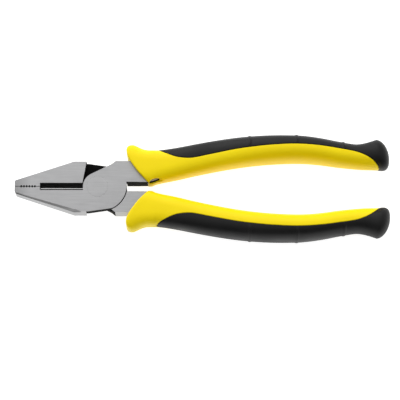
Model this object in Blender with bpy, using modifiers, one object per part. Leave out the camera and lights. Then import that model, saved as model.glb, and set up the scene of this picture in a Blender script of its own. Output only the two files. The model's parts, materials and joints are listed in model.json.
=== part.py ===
"""Lineman pliers of the 200 mm class, built as separate solids.

The object's frame: +X runs from the nose to the grips, +Z is up along the
pivot axis, and the origin is the middle of the rivet's lower end, in the
plane of the head's underside.

Both steel halves are one forging, and half B is half A turned by 180 degrees
about X. So every piece of a half is drawn once, in the half's own frame, whose
Z = 0 is the plane where the two halves lap. Half A holds the lower jaw (-Y),
the upper layer of the lap joint and the handle on the +Y side.

Constants are in millimetres and degrees. Keys are (position, value) pairs that
smooth() reads as one curve.
"""
import math

import bmesh
import bpy

MM = 0.001

# Head
HALF_THICKNESS = 5.5
NOSE_X = -44.9
NOSE_CORNER_RADIUS = 1.1
JAW_GAP = 0.2
JAW_WIDTH = 13.87
FLANK_START = (NOSE_X, -3.22)
FLANK_END = (-12.7, -JAW_WIDTH)
JAW_HEEL = (-5.9, -JAW_WIDTH)
JAW_STEP = (-4.7, -13.9)

# Lap joint: each half's boss is one layer, turning in the other half's recess
LAP_GAP = 0.3
BOSS_CENTRE = (2.0, 0.5)
BOSS_RADIUS = 13.9
BOSS_START_ANGLE = -64.0
SHOULDER_CLEARANCE = 0.55
STOP_RADIUS = 7.8
STOP_CORNER = (7.65, 12.5)
JAW_BACK_X = -8.12
JAW_BACK_TOP = -2.18
JAW_BACK_FOOT = (-5.6, -16.0)
RECESS_REACH = 16.0
RECESS_FRONT_X = 4.5
RECESS_BACK_X = 18.0
RECESS_START_ANGLE = 80.0
INNER_EDGE_SLACK = 0.05

# Shank and tang, inside the grip
SHANK_START = (9.8, 14.25)
SHANK_CORNER_RADIUS = 1.0
SHANK_INNER = 2.6
SHANK_OUTER = 14.3
TANG_INNER = ((27.5, SHANK_INNER), (30, 3.2), (33, 4.4), (36, 6.0), (40, 8.0), (46, 10.4), (55, 12.7),
              (75, 16.8), (100, 19.2), (120, 18.4), (142, 15.6))
TANG_OUTER = ((26, SHANK_OUTER), (38, 16.0), (46, 17.8), (55, 19.9), (75, 23.0), (100, 24.8),
              (120, 23.6), (142, 20.4))
TANG_SIDE = ((22, HALF_THICKNESS), (36, 4.6), (60, 4.0), (150, 3.1))
TANG_STEP = 13.0
TANG_END_STEPS = 6
CAVITY_CLEARANCE = 0.3

# Cutting edges, gripping teeth and the ground bevel along each jaw's boss side
EDGE_SETBACK = 0.05
SLOT_START = -31.2
SLOT_END = -7.8
SLOT_DEPTH = 2.0
SLOT_WALL_DEPTH = 1.9
SLOT_WALL_HEIGHT = 4.0
BLADE_LAND = 0.1
TOOTH_FIRST = -41.3
TOOTH_PITCH = 1.48
TOOTH_COUNT = 6
TOOTH_DEPTH = 0.7
BEVEL_HEIGHT = 2.0
BEVEL_OVERCUT = 1.0
BEVEL_CUTTER_WIDTH = 3.0
BEVEL_STATIONS = ((-46.5, 2.2, 2.3), (-12.7, 12.58, 13.58), (-8.8, 13.85, 14.0))

# Rivet, riveted flush on both faces
RIVET_HEAD_RADIUS = 5.7
RIVET_RADIUS = 4.2
RIVET_HEAD_DEPTH = 1.8
RIVET_CLEARANCE = 0.08
ROUND_STEPS = 40
ARC_STEPS = 12
FILLET_STEPS = 3
NOTCH_STEPS = 24

# Grip envelope: edges, half thickness and squareness along X
GRIP_OUTER = ((18.7, 23.85), (20.4, 23.5), (22, 22.75), (24.5, 21.55), (27, 20.9), (30, 20.8),
              (33, 20.9), (36.5, 21.3), (43, 22.35), (52, 24.1), (60, 25.6), (70, 27.2), (80, 28.45),
              (92, 29.25), (103, 29.4), (112, 29.1), (121.5, 27.9), (131, 26.1), (138, 24.9), (141, 24.6),
              (144.5, 25.0), (148, 25.9), (152, 27.25))
GRIP_INNER = ((28, 1.85), (30, 2.0), (31.6, 2.75), (33.2, 3.2), (36.5, 3.85), (43, 5.15), (52, 7.3),
              (60, 9.05), (70, 11.05), (80, 12.7), (92, 14.05), (103, 14.7), (112, 14.75),
              (121.5, 13.95), (131, 12.55), (138, 11.75), (144.5, 11.15), (152, 10.95))
GRIP_SIDE = ((15, 8.4), (25, 8.4), (34, 8.6), (43, 9.0), (60, 9.6), (70, 10.2), (80, 10.7), (95, 11.3),
             (108, 11.5), (120, 11.1), (130, 10.4), (141, 9.5), (148, 9.4), (152, 9.8))
GRIP_SQUARENESS = ((18.7, 4.0), (28, 3.6), (36, 3.0), (60, 2.8), (100, 2.5), (145, 2.3), (152, 2.3))
RING_POINTS = 20

# The guard's front edge slants, so the first rings are fanned: X of the edge at each Y
GUARD_FRONT = ((1.85, 28.0), (2.4, 27.3), (3.6, 26.3), (5.9, 24.2), (7.9, 22.3), (11.3, 19.7),
               (13.6, 18.1), (16.0, 16.7), (17.4, 16.1), (19.6, 15.7), (21.0, 15.8), (22.1, 16.3),
               (23.1, 17.2), (23.85, 18.7))
FAN_STATIONS = (28.0, 30.4, 33.0, 36.5, 40.5, 45.0)
GRIP_STATIONS = (52, 60, 69, 78, 87, 96, 106, 116, 124, 132, 139, 145, 149, 152)
KNOB_STEPS = (0.3, 0.55, 0.75, 0.9, 0.98)
KNOB_LENGTH = 7.3
KNOB_DROP = 3.25
KNOB_DROP_POWER = 1.6
KNOB_ROUNDNESS = 2.4

# Two-colour moulding: a yellow sleeve with a black overmold on its outer side
OVERMOLD_DEPTH = 2.0
OVERMOLD_GAP = 0.3
CORE_END = 148.0
CORE_STATIONS = (30, 37, 45, 56, 69, 82, 96, 110, 124, 136, 144, 148)
COLOUR_EDGE = ((31.6, 21.6), (32.8, 20.75), (34.0, 19.95), (35.1, 19.3), (36.7, 18.55), (39.7, 17.15),
               (43.0, 16.0), (46.3, 15.45), (49.5, 15.25), (52.8, 15.5), (59.4, 16.85), (65.9, 18.15),
               (72.4, 19.45), (79.0, 20.55), (85.5, 21.35), (92.0, 22.05), (98.6, 22.5), (105.0, 22.8),
               (111.7, 22.75), (118.0, 22.35), (124.8, 21.6), (131.3, 20.6), (137.8, 19.55), (141.1, 18.8),
               (144.4, 17.6), (147.6, 15.9), (150.9, 13.4), (154.0, 10.2), (156.5, 7.2))
RIB_PLACES = (82.8, 108.4, 134.0)
RIB_HALF_WIDTH = 1.2
RIB_CROWN_HALF_WIDTH = 0.6
RIB_HEIGHT = 0.35
NOTCH_CENTRE = (32.9, 1.6)
NOTCH_RADII = (4.9, 3.0)
NOTCH_FLOOR = 2.0

# Cutters reach this far past the faces that they cut
OVERCUT = 1.5
FAR_SIDE = 40.0
FAR_END = 170.0


def clear_scene():
    """Remove every object that the file opened with."""
    for item in list(bpy.data.objects):
        bpy.data.objects.remove(item, do_unlink=True)


def add_collection(name):
    """Add a collection to the scene."""
    collection = bpy.data.collections.new(name)
    bpy.context.scene.collection.children.link(collection)
    return collection


def add_material(name, colour, roughness, metallic):
    """Make a Principled material."""
    finish = bpy.data.materials.new(name)
    finish.use_nodes = True
    shader = finish.node_tree.nodes["Principled BSDF"]
    shader.inputs["Base Color"].default_value = (*colour, 1.0)
    shader.inputs["Roughness"].default_value = roughness
    shader.inputs["Metallic"].default_value = metallic
    finish.diffuse_color = (*colour, 1.0)
    return finish


def smooth(keys, position):
    """Read the curve through the keys: cubic pieces, each key's slope taken across its neighbours."""
    position = min(max(position, keys[0][0]), keys[-1][0])
    last = len(keys) - 1
    slopes = []
    for index in range(len(keys)):
        before = keys[max(index - 1, 0)]
        after = keys[min(index + 1, last)]
        slopes.append((after[1] - before[1]) / (after[0] - before[0]))
    index = 0
    while index < last - 1 and position > keys[index + 1][0]:
        index += 1
    start, end = keys[index], keys[index + 1]
    span = end[0] - start[0]
    part = (position - start[0]) / span
    value = start[1] * (1 + 2 * part) * (1 - part) ** 2 + end[1] * part ** 2 * (3 - 2 * part)
    value += span * part * (1 - part) * (slopes[index] * (1 - part) - slopes[index + 1] * part)
    return value


def arc(centre, radius, start, end, steps):
    """Points on a circle from one angle to another."""
    points = []
    for step in range(steps + 1):
        angle = math.radians(start + (end - start) * step / steps)
        points.append((centre[0] + radius * math.cos(angle), centre[1] + radius * math.sin(angle)))
    return points


def rounded(before, corner, after, radius, steps):
    """Points of the fillet that replaces a corner of an outline."""
    to_before = math.atan2(before[1] - corner[1], before[0] - corner[0])
    to_after = math.atan2(after[1] - corner[1], after[0] - corner[0])
    turn = math.remainder(to_after - to_before, 2 * math.pi)
    middle = to_before + turn / 2
    reach = radius / abs(math.sin(turn / 2))
    centre = (corner[0] + reach * math.cos(middle), corner[1] + reach * math.sin(middle))
    sweep = math.degrees(math.copysign(math.pi - abs(turn), turn))
    facing = math.degrees(middle) + 180
    return arc(centre, radius, facing + sweep / 2, facing - sweep / 2, steps)


def shifted(points, distance):
    """Move an open outline to its left by a distance."""
    moved = []
    for index, point in enumerate(points):
        before = points[max(index - 1, 0)]
        after = points[min(index + 1, len(points) - 1)]
        run = (after[0] - before[0], after[1] - before[1])
        length = math.hypot(*run)
        moved.append((point[0] - distance * run[1] / length, point[1] + distance * run[0] / length))
    return moved


def stations(start, end, step):
    """Even places from start to end, about one step apart."""
    count = max(1, round((end - start) / step))
    return [start + (end - start) * index / count for index in range(count + 1)]


def solid_from(name, source, collection):
    """Turn an object's evaluated form into a welded mesh object, and remove the source."""
    bpy.context.view_layer.update()
    view = bpy.context.evaluated_depsgraph_get()
    mesh = bpy.data.meshes.new_from_object(source.evaluated_get(view))
    body = bmesh.new()
    body.from_mesh(mesh)
    bmesh.ops.remove_doubles(body, verts=body.verts, dist=0.001 * MM)
    bmesh.ops.recalc_face_normals(body, faces=body.faces)
    body.to_mesh(mesh)
    body.free()
    mesh.name = name
    solid = bpy.data.objects.new(name, mesh)
    solid.matrix_world = source.matrix_world.copy()
    collection.objects.link(solid)
    bpy.data.objects.remove(source, do_unlink=True)
    return solid


def prism(name, outline, low, high, axis, collection):
    """Raise a flat outline from low to high: (x, y) along Z, (x, z) along Y, or (y, z) along X."""
    curve = bpy.data.curves.new(name, "CURVE")
    curve.dimensions = "2D"
    curve.fill_mode = "BOTH"
    curve.extrude = (high - low) / 2 * MM
    spline = curve.splines.new("POLY")
    spline.points.add(len(outline) - 1)
    for point, (first, second) in zip(spline.points, outline):
        point.co = (first * MM, second * MM, 0.0, 1.0)
    spline.use_cyclic_u = True
    flat = bpy.data.objects.new(name + "_outline", curve)
    middle = (low + high) / 2 * MM
    quarter = math.pi / 2
    if axis == "Z":
        flat.location = (0.0, 0.0, middle)
    elif axis == "Y":
        flat.location = (0.0, middle, 0.0)
        flat.rotation_euler = (quarter, 0.0, 0.0)
    else:
        flat.location = (middle, 0.0, 0.0)
        flat.rotation_euler = (quarter, 0.0, quarter)
    collection.objects.link(flat)
    return solid_from(name, flat, collection)


def loft(name, rings, collection):
    """Join rings that run the same way round, and close each end with a ladder of quads."""
    body = bmesh.new()
    rows = []
    for ring in rings:
        rows.append([body.verts.new((x * MM, y * MM, z * MM)) for x, y, z in ring])
    count = len(rows[0])
    for row, following in zip(rows, rows[1:]):
        for index in range(count):
            ahead = (index + 1) % count
            body.faces.new((row[index], row[ahead], following[ahead], following[index]))
    for row in (rows[0], rows[-1]):
        for index in range(count // 2):
            ends = (row[index], row[index + 1], row[-index - 1], row[-index])
            body.faces.new(list(dict.fromkeys(ends)))
    bmesh.ops.recalc_face_normals(body, faces=body.faces)
    mesh = bpy.data.meshes.new(name)
    body.to_mesh(mesh)
    body.free()
    solid = bpy.data.objects.new(name, mesh)
    collection.objects.link(solid)
    return solid


def turned(name, profile, collection):
    """Turn a profile of (radius, height) about Z; it runs down the outer side."""
    mesh = bpy.data.meshes.new(name)
    points = [(radius * MM, 0.0, height * MM) for radius, height in profile]
    mesh.from_pydata(points, [(index, index + 1) for index in range(len(points) - 1)], [])
    line = bpy.data.objects.new(name + "_profile", mesh)
    collection.objects.link(line)
    screw = line.modifiers.new("turn", "SCREW")
    screw.steps = ROUND_STEPS
    screw.render_steps = ROUND_STEPS
    screw.use_merge_vertices = True
    screw.merge_threshold = 0.00001
    return solid_from(name, line, collection)


def combine(base, tool, operation):
    """Cut, join or intersect a solid with a tool, then remove the tool."""
    change = base.modifiers.new(operation.lower(), "BOOLEAN")
    change.solver = "EXACT"
    change.operation = operation
    change.object = tool
    bpy.context.view_layer.update()
    view = bpy.context.evaluated_depsgraph_get()
    mesh = bpy.data.meshes.new_from_object(base.evaluated_get(view))
    base.modifiers.remove(change)
    base.data = mesh
    bpy.data.objects.remove(tool, do_unlink=True)


def half_outline():
    """Plan outline of a steel half, counter-clockwise from the nose."""
    parting = -JAW_GAP / 2
    points = [(NOSE_X, parting)]
    points += rounded((NOSE_X, 0.0), FLANK_START, FLANK_END, NOSE_CORNER_RADIUS, FILLET_STEPS)
    points += [FLANK_END, JAW_HEEL, JAW_STEP]
    boss_end = math.degrees(math.asin((SHANK_INNER - BOSS_CENTRE[1]) / BOSS_RADIUS))
    points += arc(BOSS_CENTRE, BOSS_RADIUS, BOSS_START_ANGLE, boss_end, ARC_STEPS)
    points += tang_outline(0.0)
    shank_end = (TANG_OUTER[0][0], SHANK_OUTER)
    points += rounded(shank_end, SHANK_START, STOP_CORNER, SHANK_CORNER_RADIUS, FILLET_STEPS)
    points.append(STOP_CORNER)
    corner_angle = math.atan2(STOP_CORNER[1], STOP_CORNER[0])
    tangent_angle = corner_angle + math.acos(STOP_RADIUS / math.hypot(*STOP_CORNER))
    points += arc((0.0, 0.0), STOP_RADIUS, math.degrees(tangent_angle), 180.0, ARC_STEPS)
    points.append((-STOP_RADIUS, parting))
    return points


def tang_outline(clearance):
    """Both edges of the tang, from the shank's inner edge round the end to its outer edge."""
    inner_start, end = TANG_INNER[0][0], TANG_INNER[-1][0]
    outer_start = TANG_OUTER[0][0]
    points = [(x, smooth(TANG_INNER, x) - clearance) for x in stations(inner_start, end, TANG_STEP)]
    low, high = points[-1][1], TANG_OUTER[-1][1] + clearance
    points += arc((end, (low + high) / 2), (high - low) / 2, -90.0, 90.0, TANG_END_STEPS)[1:-1]
    back = reversed(stations(outer_start, end, TANG_STEP))
    points += [(x, smooth(TANG_OUTER, x) + clearance) for x in back]
    return points


def side_outline(start, clearance):
    """Side outline, in X and Z, that thins the tang."""
    top = [(start, HALF_THICKNESS + clearance)] + [(x, half + clearance) for x, half in TANG_SIDE]
    return top + [(x, -height) for x, height in reversed(top)]


def lap_outline():
    """Plan outline of the recess that the other half's boss turns in."""
    centre = (BOSS_CENTRE[0], -BOSS_CENTRE[1])
    radius = BOSS_RADIUS + SHOULDER_CLEARANCE
    shoulder_end = math.degrees(math.asin((SHANK_INNER - centre[1]) / radius))
    points = [(JAW_BACK_X, RECESS_REACH), (RECESS_FRONT_X, RECESS_REACH)]
    points += arc(centre, radius, RECESS_START_ANGLE, shoulder_end, ARC_STEPS)
    points += [(RECESS_BACK_X, SHANK_INNER - INNER_EDGE_SLACK), (RECESS_BACK_X, -RECESS_REACH)]
    points += [JAW_BACK_FOOT, (JAW_BACK_X, JAW_BACK_TOP)]
    return points


def blade_outline():
    """Section, in Y and Z, of the slot that leaves a cutting edge in the lap plane."""
    top = HALF_THICKNESS + OVERCUT
    side = [(-SLOT_DEPTH, top), (-SLOT_DEPTH, HALF_THICKNESS), (-SLOT_WALL_DEPTH, SLOT_WALL_HEIGHT)]
    side.append((-EDGE_SETBACK, BLADE_LAND))
    points = [(OVERCUT, top)] + side + [(y, -z) for y, z in reversed(side)]
    points.append((OVERCUT, -top))
    return points


def tooth_outline():
    """Comb of V grooves, in plan, that leaves the gripping teeth."""
    crest = -EDGE_SETBACK
    points = [(TOOTH_FIRST - TOOTH_PITCH, OVERCUT), (TOOTH_FIRST - TOOTH_PITCH, crest)]
    for tooth in range(TOOTH_COUNT):
        middle = TOOTH_FIRST + tooth * TOOTH_PITCH
        root = (middle, crest - TOOTH_DEPTH)
        points += [(middle - TOOTH_DEPTH, crest), root, (middle + TOOTH_DEPTH, crest)]
    end = TOOTH_FIRST + TOOTH_COUNT * TOOTH_PITCH
    points += [(end, crest), (end, OVERCUT)]
    return points


def bevel_rings():
    """Sections of the wedge that grinds the bevel between a jaw's boss-side face and its flank."""
    rings = []
    top = HALF_THICKNESS + BEVEL_OVERCUT
    foot = HALF_THICKNESS - BEVEL_HEIGHT - BEVEL_OVERCUT
    for x, face, flank in BEVEL_STATIONS:
        lean = (flank - face) / BEVEL_HEIGHT * BEVEL_OVERCUT
        far = flank + BEVEL_CUTTER_WIDTH
        section = [(face - lean, top), (flank + lean, foot), (far, foot), (far, top)]
        rings.append([(x, -y, z) for y, z in section])
    return rings


def rivet_profile(clearance, overcut):
    """Profile of the rivet, or of its hole."""
    head = RIVET_HEAD_RADIUS + clearance
    neck = RIVET_RADIUS + clearance
    top = HALF_THICKNESS + overcut
    neck_height = HALF_THICKNESS - RIVET_HEAD_DEPTH
    side = [(0.0, top), (head, top)]
    if overcut:
        side.append((head, HALF_THICKNESS))
    side.append((neck, neck_height))
    return side + [(radius, -height) for radius, height in reversed(side)]


def make_steel_half(name, workshop):
    """Forge one half: outline and thickness, lap recess, rivet hole, blade, teeth and bevels."""
    thick = HALF_THICKNESS + OVERCUT
    half = prism(name, half_outline(), -thick, thick, "Z", workshop)
    side_shape = prism("side_shape", side_outline(NOSE_X - OVERCUT, 0.0), -FAR_SIDE, FAR_SIDE, "Y", workshop)
    combine(half, side_shape, "INTERSECT")
    recess = prism("lap_recess", lap_outline(), -thick, LAP_GAP / 2, "Z", workshop)
    combine(half, recess, "DIFFERENCE")
    hole = turned("rivet_hole", rivet_profile(RIVET_CLEARANCE, OVERCUT), workshop)
    combine(half, hole, "DIFFERENCE")
    slot = prism("blade_slot", blade_outline(), SLOT_START, SLOT_END, "X", workshop)
    combine(half, slot, "DIFFERENCE")
    teeth = prism("tooth_comb", tooth_outline(), -thick, thick, "Z", workshop)
    combine(half, teeth, "DIFFERENCE")
    combine(half, loft("jaw_bevel", bevel_rings(), workshop), "DIFFERENCE")
    return half


def grip_ring(base, inset, swell=0.0):
    """One ring of the grip, fanned towards the guard's front edge ahead of the last fan station."""
    fan_start, fan_end = FAN_STATIONS[0], FAN_STATIONS[-1]
    fan = max(0.0, (fan_end - base) / (fan_end - fan_start)) if inset == 0.0 else 0.0
    outer_base = base - fan * (fan_start - GRIP_OUTER[0][0])
    inner = smooth(GRIP_INNER, base) + inset - swell
    outer = smooth(GRIP_OUTER, outer_base) - inset + swell
    power = 2 / smooth(GRIP_SQUARENESS, outer_base)
    front_low, front_high = GUARD_FRONT[0][0], GUARD_FRONT[-1][0]
    ring = []
    for step in range(RING_POINTS):
        angle = 2 * math.pi * step / RING_POINTS
        across = math.copysign(abs(math.cos(angle)) ** power, math.cos(angle))
        up = math.copysign(abs(math.sin(angle)) ** power, math.sin(angle))
        share = (across + 1) / 2
        front = smooth(GUARD_FRONT, front_low + share * (front_high - front_low))
        x = base + fan * (front - fan_start)
        y = inner + share * (outer - inner)
        z = up * (smooth(GRIP_SIDE, x) - inset + swell)
        ring.append((x, y, z))
    return ring


def knob_rings():
    """Rings of the rounded end, shrinking from the last station and sinking towards the inner side."""
    last = GRIP_STATIONS[-1]
    ring = grip_ring(last, 0.0)
    middle = (smooth(GRIP_INNER, last) + smooth(GRIP_OUTER, last)) / 2
    rings = []
    for along in KNOB_STEPS:
        scale = (1 - along ** KNOB_ROUNDNESS) ** (1 / KNOB_ROUNDNESS)
        drop = KNOB_DROP * along ** KNOB_DROP_POWER
        x = last + KNOB_LENGTH * along
        rings.append([(x, middle - drop + (y - middle) * scale, z * scale) for _, y, z in ring])
    return rings


def make_envelope(name, with_ribs, workshop):
    """The whole grip as one plain solid, with or without the raised ribs."""
    places = {station: 0.0 for station in FAN_STATIONS + GRIP_STATIONS}
    if with_ribs:
        for rib in RIB_PLACES:
            places = {x: swell for x, swell in places.items() if abs(x - rib) > 2 * RIB_HALF_WIDTH}
            places.update({rib - RIB_HALF_WIDTH: 0.0, rib + RIB_HALF_WIDTH: 0.0})
            places.update({rib - RIB_CROWN_HALF_WIDTH: RIB_HEIGHT, rib + RIB_CROWN_HALF_WIDTH: RIB_HEIGHT})
    rings = [grip_ring(x, 0.0, places[x]) for x in sorted(places)]
    return loft(name, rings + knob_rings(), workshop)


def make_core(name, depth, gap, workshop):
    """The sleeve's core under the overmold."""
    rings = [grip_ring(x, depth - gap) for x in CORE_STATIONS[:-1]]
    end = [(x + gap, y, z) for x, y, z in grip_ring(CORE_END, depth - gap)]
    return loft(name, rings + [end], workshop)


def make_black_side(name, gap, workshop):
    """Prism over the part of the plan that is overmolded."""
    edge = shifted(COLOUR_EDGE, gap)
    outline = edge + [(FAR_END, edge[-1][1]), (FAR_END, FAR_SIDE), (edge[0][0], FAR_SIDE)]
    return prism(name, outline, -FAR_SIDE / 2, FAR_SIDE / 2, "Z", workshop)


def make_cavity(workshop):
    """Room in the sleeve for the shank and the tang."""
    outline = [(0.0, 0.0), (TANG_INNER[0][0], 0.0)] + tang_outline(CAVITY_CLEARANCE)
    outline.append((0.0, SHANK_OUTER + CAVITY_CLEARANCE))
    cavity = prism("cavity", outline, -FAR_SIDE / 2, FAR_SIDE / 2, "Z", workshop)
    side = side_outline(-OVERCUT, CAVITY_CLEARANCE)
    side_shape = prism("cavity_side", side, -FAR_SIDE, FAR_SIDE, "Y", workshop)
    combine(cavity, side_shape, "INTERSECT")
    return cavity


def make_grip_sleeve(name, workshop):
    """The yellow sleeve: full envelope where it shows, a core under the overmold."""
    sleeve = make_envelope(name, False, workshop)
    black = make_black_side("black_side", 0.0, workshop)
    combine(black, make_core("core", OVERMOLD_DEPTH, 0.0, workshop), "DIFFERENCE")
    combine(sleeve, black, "DIFFERENCE")
    combine(sleeve, make_cavity(workshop), "DIFFERENCE")
    notch_outline = []
    for x, y in arc((0.0, 0.0), 1.0, 0.0, 360.0, NOTCH_STEPS)[:-1]:
        notch_outline.append((NOTCH_CENTRE[0] + x * NOTCH_RADII[0], NOTCH_CENTRE[1] + y * NOTCH_RADII[1]))
    notch = prism("notch", notch_outline, NOTCH_FLOOR, FAR_SIDE / 2, "Z", workshop)
    combine(sleeve, notch, "DIFFERENCE")
    return sleeve


def make_grip_overmold(name, workshop):
    """The black overmold: the envelope's outer side and end knob, hollow over the core."""
    overmold = make_envelope(name, True, workshop)
    combine(overmold, make_black_side("black_side", OVERMOLD_GAP, workshop), "INTERSECT")
    combine(overmold, make_core("core", OVERMOLD_DEPTH, OVERMOLD_GAP, workshop), "DIFFERENCE")
    return overmold


def make_pivot_rivet(name, workshop):
    """The rivet that holds the halves, its countersunk ends flush with the faces."""
    return turned(name, rivet_profile(0.0, 0.0), workshop)


def finish_surface(piece, finish):
    """Give a piece its material, and shade its round surfaces smooth."""
    piece.data.materials.clear()
    piece.data.materials.append(finish)
    piece.data.shade_smooth()
    piece.data.set_sharp_from_angle(angle=math.radians(30))


def add_pivot(name, turn, collection):
    """Add an empty on the pivot axis, at the lap plane, turned about X."""
    pivot = bpy.data.objects.new(name, None)
    pivot.location = (0.0, 0.0, HALF_THICKNESS * MM)
    pivot.rotation_euler = (turn, 0.0, 0.0)
    collection.objects.link(pivot)
    return pivot


def place(piece, pivot, product, workshop):
    """Hang a piece on its pivot, in the product's collection."""
    workshop.objects.unlink(piece)
    product.objects.link(piece)
    piece.parent = pivot


def main():
    """Build the pliers, closed."""
    clear_scene()
    product = add_collection("lineman_pliers")
    workshop = add_collection("cutters")
    steel = add_material("ground_steel", (0.39, 0.39, 0.40), 0.38, 1.0)
    rivet_steel = add_material("rivet_steel", (0.36, 0.36, 0.37), 0.40, 1.0)
    yellow = add_material("yellow_plastic", (0.93, 0.72, 0.008), 0.42, 0.0)
    black = add_material("black_overmold", (0.020, 0.020, 0.021), 0.68, 0.0)

    pivot_a = add_pivot("half_a_pivot", 0.0, product)
    pivot_b = add_pivot("half_b_pivot", math.pi, product)
    makers = (("steel_half", make_steel_half, steel), ("grip_sleeve", make_grip_sleeve, yellow),
              ("grip_overmold", make_grip_overmold, black))
    for name, maker, finish in makers:
        piece = maker(name + "_a", workshop)
        finish_surface(piece, finish)
        twin = bpy.data.objects.new(name + "_b", piece.data)
        workshop.objects.link(twin)
        place(piece, pivot_a, product, workshop)
        place(twin, pivot_b, product, workshop)

    rivet = make_pivot_rivet("pivot_rivet", workshop)
    finish_surface(rivet, rivet_steel)
    place(rivet, pivot_a, product, workshop)


main()
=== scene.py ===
"""The finished look of a pair of lineman pliers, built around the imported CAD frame.

The frame: +X runs from the nose to the grips, and +Z is up along the pivot. Both halves are the same
pieces, and half B is half A turned by 180 degrees about X, so each piece is drawn once, in half A's own
frame: its Z = 0 is the plane where the halves lap, and its handle is on the +Y side.

Lengths are in millimetres and angles in degrees. Keys are (position, value) pairs that smooth() reads as
one curve.
"""
import json
import math

import bmesh
import bpy
import numpy as np
from mathutils import Matrix, Vector

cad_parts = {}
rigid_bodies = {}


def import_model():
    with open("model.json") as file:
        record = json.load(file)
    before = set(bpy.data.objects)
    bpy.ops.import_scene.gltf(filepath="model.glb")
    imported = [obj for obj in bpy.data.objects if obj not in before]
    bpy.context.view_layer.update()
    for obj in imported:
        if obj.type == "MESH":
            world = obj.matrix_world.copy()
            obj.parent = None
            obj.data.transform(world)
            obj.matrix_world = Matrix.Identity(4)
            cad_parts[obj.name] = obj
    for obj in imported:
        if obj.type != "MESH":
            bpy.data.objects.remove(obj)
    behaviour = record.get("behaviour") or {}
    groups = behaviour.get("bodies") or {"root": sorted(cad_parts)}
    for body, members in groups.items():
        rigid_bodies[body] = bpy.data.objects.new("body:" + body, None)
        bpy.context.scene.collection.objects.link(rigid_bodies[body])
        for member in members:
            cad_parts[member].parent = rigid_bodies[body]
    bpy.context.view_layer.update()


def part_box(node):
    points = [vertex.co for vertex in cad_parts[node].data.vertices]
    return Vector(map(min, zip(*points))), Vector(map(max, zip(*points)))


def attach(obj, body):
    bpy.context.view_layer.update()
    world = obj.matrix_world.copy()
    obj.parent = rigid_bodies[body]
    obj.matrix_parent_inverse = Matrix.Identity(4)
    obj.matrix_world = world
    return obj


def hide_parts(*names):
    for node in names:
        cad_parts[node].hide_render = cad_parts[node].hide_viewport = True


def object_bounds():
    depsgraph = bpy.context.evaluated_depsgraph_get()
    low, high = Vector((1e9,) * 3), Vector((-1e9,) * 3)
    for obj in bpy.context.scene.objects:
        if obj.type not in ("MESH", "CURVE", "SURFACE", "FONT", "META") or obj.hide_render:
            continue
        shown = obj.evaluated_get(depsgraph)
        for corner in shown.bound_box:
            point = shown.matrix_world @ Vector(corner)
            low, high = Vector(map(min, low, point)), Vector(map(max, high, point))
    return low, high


for startup_object in list(bpy.data.objects):
    bpy.data.objects.remove(startup_object, do_unlink=True)
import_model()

MM = 0.001

# What the frame gives
STEEL_LOW, STEEL_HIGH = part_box("steel_half_a")
PIVOT_HEIGHT = (STEEL_LOW[2] + STEEL_HIGH[2]) / 2
HALF_THICKNESS = (STEEL_HIGH[2] - STEEL_LOW[2]) / 2 / MM
NOSE_X = STEEL_LOW[0] / MM
JAW_WIDTH = -STEEL_LOW[1] / MM
RIVET_HEAD_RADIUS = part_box("pivot_rivet")[1][0] / MM
KNOB_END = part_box("grip_overmold_a")[1][0] / MM

# Head
NOSE_CORNER_RADIUS = 1.1
JAW_GAP = 0.3
FLANK_START = (NOSE_X, -3.22)
FLANK_END = (-12.7, -JAW_WIDTH)
JAW_HEEL = (-5.9, -JAW_WIDTH)
JAW_STEP = (-4.7, -13.9)

# Lap joint
LAP_GAP = 0.3
BOSS_CENTRE = (2.0, 0.5)
BOSS_RADIUS = 13.9
BOSS_START_ANGLE = -64.0
SHOULDER_CLEARANCE = 0.55
STOP_RADIUS = 7.8
STOP_CORNER = (7.65, 12.5)
JAW_BACK_X = -8.12
JAW_BACK_TOP = -2.18
JAW_BACK_FOOT = (-5.6, -16.0)
RECESS_REACH = 16.0
RECESS_FRONT_X = 4.5
RECESS_BACK_X = 18.0
RECESS_START_ANGLE = 80.0
INNER_EDGE_SLACK = 0.05

# Shank and tang
SHANK_START = (9.8, 14.25)
SHANK_CORNER_RADIUS = 1.0
SHANK_INNER = 2.6
SHANK_OUTER = 14.3
TANG_INNER = ((27.5, SHANK_INNER), (30, 3.2), (33, 4.4), (36, 6.0), (40, 8.0), (46, 10.4), (55, 12.7),
              (75, 16.8), (100, 19.2), (120, 18.4), (142, 15.6))
TANG_OUTER = ((26, SHANK_OUTER), (38, 16.0), (46, 17.8), (55, 19.9), (75, 23.0), (100, 24.8),
              (120, 23.6), (142, 20.4))
TANG_SIDE = ((22, HALF_THICKNESS), (36, 4.6), (60, 4.0), (150, 3.1))
TANG_STEP = 4.0
CAVITY_CLEARANCE = 0.3

# Cutting edges, gripping teeth and the ground bevel along each jaw
EDGE_SETBACK = 0.05
SLOT_START = -31.2
SLOT_END = -7.8
SLOT_DEPTH = 2.0
SLOT_WALL_DEPTH = 1.9
SLOT_WALL_HEIGHT = 4.0
BLADE_LAND = 0.1
TOOTH_FIRST = -41.3
TOOTH_PITCH = 1.48
TOOTH_COUNT = 6
TOOTH_DEPTH = 0.7
BEVEL_HEIGHT = 2.0
BEVEL_OVERCUT = 1.0
BEVEL_CUTTER_WIDTH = 3.0
BEVEL_STATIONS = ((-46.5, 2.2, 2.3), (-12.7, 12.58, 13.58), (-8.8, 13.85, 14.0))

# Rivet
RIVET_RADIUS = 4.2
RIVET_HEAD_DEPTH = 1.8
RIVET_CLEARANCE = 0.015
RIVET_EDGE_ROUND = 0.05
RIVET_CROWN = 0.01

# How finely round stretches are drawn
ARC_STEPS = 36
FILLET_STEPS = 8
ROUND_STEPS = 96

# Points closer than this are one point: on most solids, on the grip's rings, on a lathe's axis, and on
# the steel before its edges are rounded
MERGED = 0.001
RING_MERGED = 0.002
LATHE_MERGED = 0.01
SLIVER = 0.03

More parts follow.
